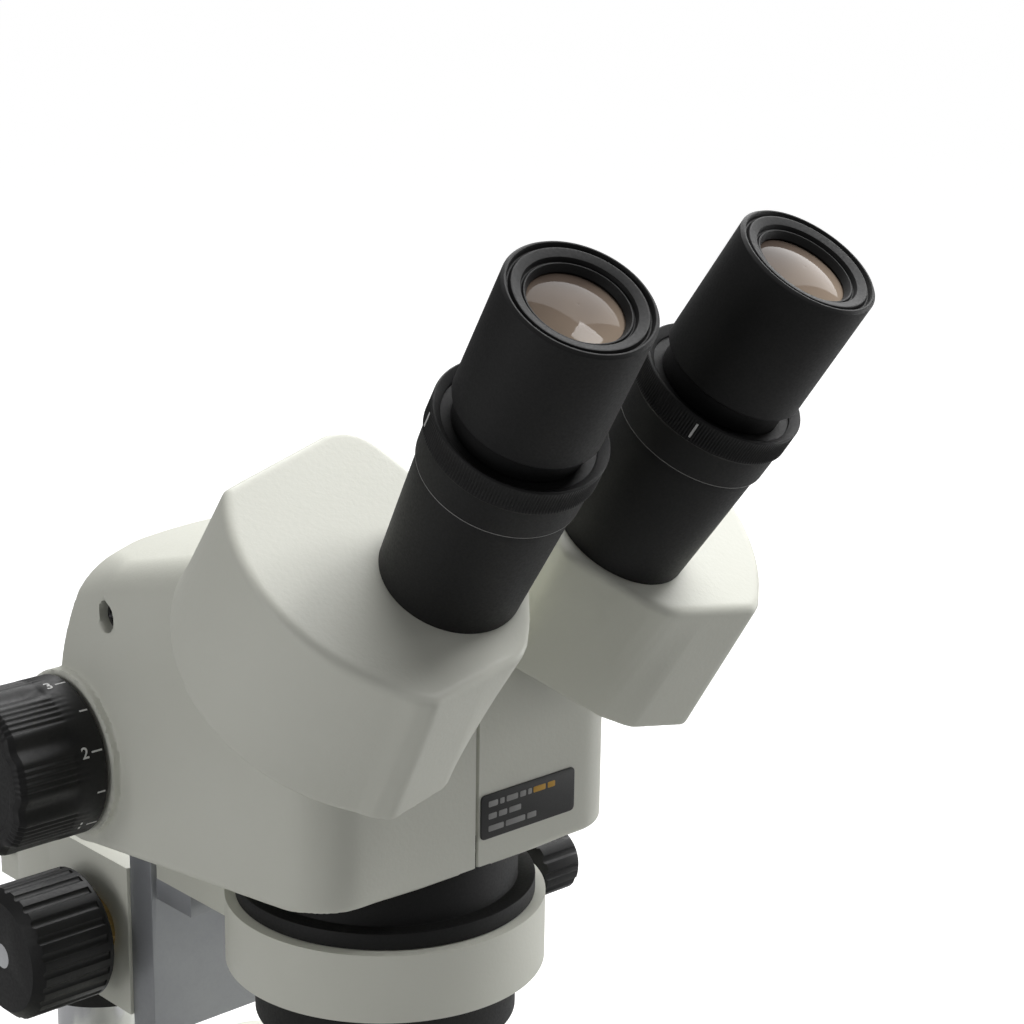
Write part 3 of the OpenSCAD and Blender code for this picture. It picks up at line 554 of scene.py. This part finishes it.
def housing_field(p):
    u, v, w = p[:, 0], p[:, 1], p[:, 2]
    t = np.clip(-w / HOUSING_H, 0, 1)
    side = sd_polygon(u, v, TOP) * (1 - t) + sd_polygon(u, v, BOTTOM) * t
    skin = meet(meet(side, w, 2.2), -HOUSING_H - w, 1.0)
    hollow = np.maximum(side + WALL, w + WALL + 0.8)
    shell = cut(skin, hollow, 0.2)
    return cut(shell, np.maximum(np.hypot(u, v) - 17.1, -8 - w), 0.2)


STEP_HOUSING = 0.9
house_verts, house_quads = surface_net(housing_field, (-27, -40, -HOUSING_H - 2), (59, 56, 2), STEP_HOUSING)
for house_side, side_word in ((1, "right"), (-1, "left")):
    house = mesh_object("housing_" + side_word, house_verts, house_quads, "cream_paint")
    house.data.transform(tube_matrix(house_side))
    orient(house)
    sharpen(house, 50)
    place(house, "housing_" + side_word, "cream_paint", "prism_housing_" + side_word)

# ---------------------------------------------------------------- eye tubes, dioptre rings and eyepieces
EYE_R = 19.0
EYE_TOP = 96.5
TUBE_PROFILE = [(15.4, -6), (17, -6), (17, 0), (18.8, 0), (19.6, 18), (20.3, 35.5), (20.3, 38.2), (17.8, 38.2),
                (17.8, 50), (15.4, 50)]
RING_PROFILE = [(17.85, 38.5), (20.9, 38.5), (21.15, 38.75), (21.4, 47.2), (21.55, 47.6), (22.2, 48.1),
                (22.2, 49), (22.2, 52), (22.2, 55), (21.8, 55.4), (19.6, 53.7),
                (19.6, 53), (15.05, 53), (15.05, 50.4), (17.85, 50.4)]
EYE_PROFILE = [(13.4, 34), (15, 34), (15, 53.3), (16.9, 53.3), (16.9, 59), (18.3, 59.6), (EYE_R, 60.3),
               (EYE_R, EYE_TOP - 0.7), (18.3, EYE_TOP), (17.85, EYE_TOP), (17.4, EYE_TOP - 1.4),
               (16.95, EYE_TOP - 1.4), (16.6, EYE_TOP - 0.35), (16.2, EYE_TOP - 0.35), (14.1, EYE_TOP - 1.0),
               (13.8, EYE_TOP - 2.4), (13.4, EYE_TOP - 2.4), (13.2, EYE_TOP - 1.8), (12.8, EYE_TOP - 1.8),
               (11.9, EYE_TOP - 3.6), (11.9, EYE_TOP - 3.8), (12.7, EYE_TOP - 3.9), (12.7, 88),
               (11.4, 88), (11.4, 41), (13.4, 41)]
# A thin grey ring at the dioptre ring's lower edge: a painted highlight where its chamfer catches the light.
PAINTED_HIGHLIGHT_LINE = [(20.3, 38.38), (21.0, 38.38), (21.1, 38.46), (21.1, 38.6), (20.3, 38.6)]
RING_R = 22.2
INDEX_ANGLES = (-150, 30)
INDEX_SPAN = (49.2, 53.6)
INDEX_FACES = ((1, 3, 7, 5), (0, 1, 5, 4), (2, 6, 7, 3), (0, 2, 3, 1), (4, 5, 7, 6))
LENS_RIM = 12.65
LENS_EDGE = EYE_TOP - 4.4
LENS_CROWN = 2.2
RIBS = 170
rib_segments = 1020


def collar_ribs(r, z, angles):
    """Fine straight knurling, on the band only."""
    if r < 22.1 or not 48.6 < z < 54.6:
        return 0
    return 0.34 * (0.5 - 0.5 * np.cos(angles * RIBS))


def dome(rim, edge, crown, low, steps=14):
    """A plano-convex lens outline from the axis out to the rim and back over the crown."""
    top = [(rim * (1 - i / steps), edge + crown * (1 - (1 - i / steps) ** 2)) for i in range(1, steps + 1)]
    return [(0, low), (rim, low), (rim, edge)] + top


for eye_side, side_word in ((1, "right"), (-1, "left")):
    local = tube_matrix(eye_side)
    tube = lathe("tube_" + side_word, TUBE_PROFILE, local, "black_anodised")
    place(tube, "housing_" + side_word, "black_anodised", "eyetube_" + side_word)
    ring = lathe("diopter_" + side_word, RING_PROFILE, local, "black_anodised", rib_segments, collar_ribs,
                 ease=0.18)
    place(ring, "diopter_" + side_word, "black_anodised", "diopter_ring_" + side_word)
    # Grey ring on the dioptre ring's lower edge: painted highlight.
    line = lathe("diopter_painted_highlight_" + side_word, PAINTED_HIGHLIGHT_LINE, local, "mark_grey", ease=0.03)
    place(line, "diopter_" + side_word, "black_anodised")
    pts, shapes = [], []
    for turn_to in INDEX_ANGLES:
        for s_at in INDEX_SPAN:
            for across in (-0.3, 0.3):
                t = math.radians(turn_to) + across / RING_R
                for r in (RING_R - 0.4, RING_R + 0.04):
                    pts.append((r * math.cos(t), r * math.sin(t), s_at))
        b = len(pts) - 8
        shapes += [tuple(b + i for i in f) for f in INDEX_FACES]
    index = mesh_object("diopter_index_" + side_word, pts, shapes, "mark_white", smooth=False)
    index.data.transform(local)
    orient(index)
    place(index, "diopter_" + side_word, "black_anodised")
    piece = lathe("eyepiece_barrel_" + side_word, EYE_PROFILE, local, "black_anodised", ease=0.2)
    place(piece, "eyepiece_" + side_word, "black_anodised", "eyepiece_" + side_word)
    eye_lens = lathe("eye_lens_glass_" + side_word, dome(LENS_RIM, LENS_EDGE, LENS_CROWN, 88.2), local,
                     "coated_glass", 128, least=60, ease=0.1)
    place(eye_lens, "eyepiece_" + side_word, "coated_glass", "eye_lens_" + side_word)

# ---------------------------------------------------------------- zoom knobs with their dials
KNOB_BASE = 60.0
KNOB_R = 23.5
GRIP_FROM = 8.8
GRIP_TO = 26.2
GROUPS = 8
RIBS_IN_GROUP = 5
DIAL_ANGLE = -70.0
KNOB_PROFILE = ([(4, 0), (22.6, 0), (KNOB_R, 0.7), (KNOB_R, 4), (KNOB_R, GRIP_FROM)]
                + [(KNOB_R - 0.05, GRIP_FROM + 0.8 * k) for k in range(1, 22)]
                + [(KNOB_R - 0.1, GRIP_TO), (22.4, 27.9), (20.5, 28.6), (17.5, 28.6), (16.5, 28.0), (0, 28.0),
                   (0, 24), (4, 24)])


def knob_matrix(side):
    """Local z points out of the body along the zoom shaft, local x points up."""
    return MILLI @ outward(side, side * KNOB_BASE, zoom_point[1], zoom_point[2])


def knob_grip(r, z, angles):
    """Groups of fine ribs with shallow finger hollows between them, running out before the dial."""
    if r < 19 or z <= GRIP_FROM:
        return 0
    phase = (angles * GROUPS / (2 * math.pi)) % 1.0
    ribbed = np.where(phase < 0.5, 0.42 * (0.5 - 0.5 * np.cos(phase * 4 * math.pi * RIBS_IN_GROUP)), 0)
    hollow = np.where(phase >= 0.5, np.sin((phase - 0.5) * 2 * math.pi) ** 2, 0)
    ribs_in = min(1.0, (z - GRIP_FROM) / 0.8)
    runs_in = min(1.0, (z - GRIP_FROM) / 7.0) ** 0.5
    return ribbed * ribs_in + 1.5 * hollow * runs_in


def on_dial(points, angle, side):
    """Lays flat (along the band from the body, round the band, height) points on the dial's cylinder."""
    out = []
    for a, b, h in points:
        t = math.radians(angle) + b / KNOB_R
        r = KNOB_R + h
        out.append((r * math.cos(t), r * math.sin(t), a))
    return out


def tick_mesh(length, width, start):
    """A thin raised stroke with a slightly rounded top, along the band."""
    h = width / 2
    rows = [(-h, -0.02), (-h * 0.9, 0.035), (0, 0.045), (h * 0.9, 0.035), (h, -0.02)]
    pts = [(start, b, z) for b, z in rows] + [(start + length, b, z) for b, z in rows]
    n = len(rows)
    faces = [(i, i + 1, n + i + 1, n + i) for i in range(n - 1)] + [tuple(range(n)), tuple(range(n, 2 * n))]
    return pts, faces


def glyph(text, size):
    """The outline of a number as a thin mesh, centred, in millimetres."""
    curve = bpy.data.curves.new("glyph", "FONT")
    curve.body = text
    curve.size = size
    curve.align_x, curve.align_y = "CENTER", "CENTER"
    curve.extrude = 0.03
    curve.offset = 0.07
    curve.resolution_u = 6
    carrier = bpy.data.objects.new("glyph", curve)
    bpy.context.scene.collection.objects.link(carrier)
    bpy.context.view_layer.update()
    mesh = bpy.data.meshes.new_from_object(carrier.evaluated_get(bpy.context.evaluated_depsgraph_get()))
    pts = [tuple(v.co) for v in mesh.vertices]
    faces = [tuple(f.vertices) for f in mesh.polygons]
    bpy.data.objects.remove(carrier)
    bpy.data.meshes.remove(mesh)
    bpy.data.curves.remove(curve)
    return pts, faces


DIAL = [(-120, "0.7"), (-60, "1"), (0, "2"), (60, "3"), (120, "4")]
knob_segments = 720
for knob_side, side_word in ((1, "right"), (-1, "left")):
    local = knob_matrix(knob_side)
    knob = lathe("zoom_dial_" + side_word, KNOB_PROFILE, local, "black_plastic", knob_segments, knob_grip,
                 ease=0.3)
    place(knob, "zoom", "black_plastic", "zoom_knob_" + side_word)
    verts, faces = [], []

    def add(pts, shapes, angle):
        base = len(verts)
        verts.extend(on_dial(pts, angle, knob_side))
        faces.extend(tuple(base + i for i in f) for f in shapes)

    for step in range(12):
        angle = DIAL_ANGLE + 30 * step
        numbered = step % 2 == 0 and step != 6
        add(*tick_mesh(3.4 if numbered else 2.6, 0.55, 1.2), angle)
    for turn_by, text in DIAL:
        pts, shapes = glyph(text, 4.6)
        laid = [(6.7 + knob_side * px, py, pz + 0.02) for px, py, pz in pts]
        add(laid, shapes, DIAL_ANGLE + turn_by)
    marks = mesh_object("zoom_marks_" + side_word, verts, faces, "mark_white", smooth=False)
    marks.data.transform(local)
    place(marks, "zoom", "black_plastic")

# ---------------------------------------------------------------- label plate
label_mid = (label_lo + label_hi) / 2
LABEL_W, LABEL_H = float(label_hi[0] - label_lo[0]), float(label_hi[2] - label_lo[2])
PLATE_T = 0.5
BAR_H = 1.7
BAR_GAP = 0.8


def prism(name, outline, y0, y1, ease, material):
    """A plate in the XZ plane with rounded front edges, facing -y."""
    bm = bmesh.new()
    layers = []
    for y, grow in ((y1, 0.0), (y0 + ease, 0.0), (y0 + ease * 0.3, -ease * 0.3), (y0, -ease)):
        mid = outline.mean(0)
        ring = []
        for p in outline:
            x, z = p + np.sign(p - mid) * grow
            ring.append(bm.verts.new((x * MM, y * MM, z * MM)))
        layers.append(ring)
    n = len(outline)
    for a, b in zip(layers, layers[1:]):
        for i in range(n):
            bm.faces.new((a[i], a[(i + 1) % n], b[(i + 1) % n], b[i]))
    bm.faces.new(layers[0])
    bm.faces.new(layers[-1])
    bmesh.ops.recalc_face_normals(bm, faces=bm.faces)
    mesh = bpy.data.meshes.new(name)
    bm.to_mesh(mesh)
    bm.free()
    obj = bpy.data.objects.new(name, mesh)
    bpy.context.scene.collection.objects.link(obj)
    mesh.materials.append(MATS[material])
    sharpen(obj, 40)
    return obj


def rounded_box(cx, cz, w, h, r):
    corners = [(cx + i * w / 2, cz + j * h / 2) for i, j in ((-1, -1), (1, -1), (1, 1), (-1, 1))]
    return fillet(corners, r, 6)


plate = prism("label_plate_visual", rounded_box(label_mid[0], label_mid[2], LABEL_W, LABEL_H, 1.6),
              FRONT_Y - PLATE_T, FRONT_Y, 0.15, "label")
place(plate, "head", "label", "label_plate")
ROWS = [(3.6, "mark_grey", 2.6, (3.4, 1.6, 4.2, 2.2, 1.4)), (3.6, "mark_ochre", 19.2, (4.6, 2.8)),
        (0.0, "mark_grey", 2.6, (3.0, 3.0, 4.4)), (-3.6, "mark_grey", 2.6, (5.6, 7.2, 3.4))]
for row, (height, tone, begin, dashes) in enumerate(ROWS):
    left = label_mid[0] - LABEL_W / 2 + begin
    for k, width in enumerate(dashes):
        bar = rounded_box(left + width / 2, label_mid[2] + height, width, BAR_H, 0.4)
        dash = prism("label_dash_%d_%d" % (row, k), bar, FRONT_Y - PLATE_T - 0.04, FRONT_Y - PLATE_T + 0.02,
                     0.01, tone)
        place(dash, "head", "label")
        left += width + BAR_GAP

# ---------------------------------------------------------------- cover screws in their recesses
def screw_field(p):
    a, r = p[:, 2], np.hypot(p[:, 0], p[:, 1])
    head = meet(meet(r - 4.2, -a, 0.3), a - 3.0 + 0.11 * r * r * 0.75, 0.5)
    arms = np.minimum(np.maximum(np.abs(p[:, 0]) - 0.55, np.abs(p[:, 1]) - 2.5),
                      np.maximum(np.abs(p[:, 1]) - 0.55, np.abs(p[:, 0]) - 2.5))
    slot = np.maximum(arms, 1.3 + 0.35 * r - a)
    head = cut(head, slot, 0.12)
    shank = np.maximum(r - 1.95, np.abs(a + 4.4) - 4.5)
    return np.minimum(head, shank)


STEP_SCREW = 0.22
screw_verts, screw_quads = surface_net(screw_field, (-4.8, -4.8, -9.4), (4.8, 4.8, 3.8), STEP_SCREW)
for screw_side, side_word in ((1, "right"), (-1, "left")):
    screw = mesh_object("cover_screw_" + side_word, screw_verts, screw_quads, "black_steel")
    tilt = Matrix.Rotation(math.radians(20), 4, "Z")
    m = outward(screw_side, screw_side * SCREW_SEAT, *SCREW_AT)
    screw.data.transform(MILLI @ m @ tilt)
    orient(screw)
    sharpen(screw, 40)
    place(screw, "head", "bright_steel", *(["cover_screws"] if screw_side > 0 else []))

# ---------------------------------------------------------------- machined and moulded stand parts
EASED = {
    "base_plate": 1.2, "rubber_feet": 0.5, "column": 0.4, "column_flange": 0.6, "flange_screws": 0.2,
    "column_cap": 0.5, "clip_screws": 0.25, "stage_plate": 0.35, "stage_clip_left": 0.2, "stage_clip_right": 0.2,
    "safety_collar": 0.5, "collar_screw": 0.3, "focus_bracket": 1.4, "pinion_bushes": 0.2,
    "bracket_clamp_screw": 0.3, "tension_ring": 0.3, "focus_slide": 0.5, "ring_holder": 1.4,
    "holder_screws": 0.2, "pinion_shaft": 0.3, "focus_knob_left": 0.4, "focus_knob_right": 0.4,
    "head_lock_screw": 0.3, "head_barrel": 0.35, "objective_cells": 0.2,
}


def eased(node, width):
    """A CAD node's own mesh with its edges broken by a small rounding."""
    obj = bpy.data.objects.new(node + "_eased", nodes[node].data.copy())
    bpy.context.scene.collection.objects.link(obj)
    bm = bmesh.new()
    bm.from_mesh(obj.data)
    bmesh.ops.remove_doubles(bm, verts=bm.verts, dist=2e-6)
    bmesh.ops.dissolve_limit(bm, angle_limit=math.radians(0.6), verts=bm.verts, edges=bm.edges)
    bm.to_mesh(obj.data)
    bm.free()
    bevel = obj.modifiers.new("ease", "BEVEL")
    bevel.width = width * MM
    bevel.segments = 3
    bevel.limit_method = "ANGLE"
    bevel.angle_limit = math.radians(32)
    bevel.use_clamp_overlap = True
    mesh = bpy.data.meshes.new_from_object(obj.evaluated_get(bpy.context.evaluated_depsgraph_get()))
    obj.modifiers.clear()
    obj.data = mesh
    sharpen(obj, 40)
    mesh.materials.clear()
    mesh.materials.append(MATS[slot_of[node]])
    place(obj, body_of_node[node], slot_of[node], node)


for eased_node, ease_width in EASED.items():
    eased(eased_node, ease_width)

# ---------------------------------------------------------------- camera, light and floor
AZ, EL, ROLL = math.radians(-42.42), math.radians(15.82), math.radians(0.8)
back = Vector((math.sin(AZ) * math.cos(EL), -math.cos(AZ) * math.cos(EL), math.sin(EL)))
flat_right = Vector((math.cos(AZ), math.sin(AZ), 0))
flat_up = back.cross(flat_right)
cam_right = math.cos(ROLL) * flat_right + math.sin(ROLL) * flat_up
cam_up = -math.sin(ROLL) * flat_right + math.cos(ROLL) * flat_up
tube_middle = Vector((0, TUBE_R[1] * MM, TUBE_R[2] * MM))
CAMERA_BACK, CAMERA_RIGHT, CAMERA_UP = 0.64337, -0.0068, 0.01067
eye_point = tube_middle + back * CAMERA_BACK + cam_right * CAMERA_RIGHT + cam_up * CAMERA_UP
camera_data = bpy.data.cameras.new("camera")
camera_data.lens = 87.92
camera_data.sensor_width = 36
camera = bpy.data.objects.new("camera", camera_data)
bpy.context.scene.collection.objects.link(camera)
turn = Matrix((cam_right, cam_up, back)).transposed().to_4x4()
camera.matrix_world = Matrix.Translation(eye_point) @ turn
bpy.context.scene.camera = camera


def area_light(name, place_at, aim, size, power):
    data = bpy.data.lights.new(name, "AREA")
    data.shape = "RECTANGLE"
    data.size, data.size_y = size
    data.energy = power
    lamp = bpy.data.objects.new(name, data)
    bpy.context.scene.collection.objects.link(lamp)
    lamp.location = place_at
    lamp.rotation_euler = (Vector(aim) - Vector(place_at)).to_track_quat("-Z", "Y").to_euler()


HEAD = (0, -0.02, 0.27)
area_light("key", (0.72, 0.38, 1.15), HEAD, (1.5, 1.5), 27.0)
area_light("front_top", (0.43, -0.56, 1.25), HEAD, (0.3, 0.3), 5.0)
area_light("side_left", (-1.25, 0.1, 0.45), HEAD, (0.6, 0.9), 4.0)
area_light("side_right", (1.2, -0.45, 0.12), HEAD, (0.5, 0.6), 6.5)

world = bpy.data.worlds.new("world")
bpy.context.scene.world = world
world.use_nodes = True
wt = world.node_tree
sky = wt.nodes["Background"]
seen = wt.nodes.new("ShaderNodeLightPath")
sky.inputs["Color"].default_value = (1, 1, 1, 1)
wt.links.new(ramp(wt, seen.outputs["Is Camera Ray"], 0, 1, 0.17, 1.0), sky.inputs["Strength"])
bpy.context.scene.view_settings.view_transform = "Standard"

floor_mat, floor_tree, floor_shader = new_material("floor_pale")
floor_tone = noise(floor_tree, 1.5, 2.0)
floor_tree.links.new(mix_colour(floor_tree, floor_tone.outputs["Fac"], (0.34, 0.34, 0.34), (0.36, 0.36, 0.36)),
                     floor_shader.inputs["Base Color"])
floor_shader.inputs["Roughness"].default_value = 0.8
floor_shader.inputs["Emission Color"].default_value = (1, 1, 1, 1)
floor_seen = floor_tree.nodes.new("ShaderNodeLightPath")
floor_tree.links.new(ramp(floor_tree, floor_seen.outputs["Is Camera Ray"], 0, 1, 0.0, 0.93),
                     floor_shader.inputs["Emission Strength"])
floor_z = cad_box[0][2]
floor_mesh = bpy.data.meshes.new("floor")
REACH = 14.0
floor_mesh.from_pydata([(-REACH, -REACH, floor_z), (REACH, -REACH, floor_z), (REACH, REACH, floor_z),
                        (-REACH, REACH, floor_z)], [], [(0, 1, 2, 3)])
floor_mesh.materials.append(floor_mat)
floor = bpy.data.objects.new("floor", floor_mesh)
bpy.context.scene.collection.objects.link(floor)
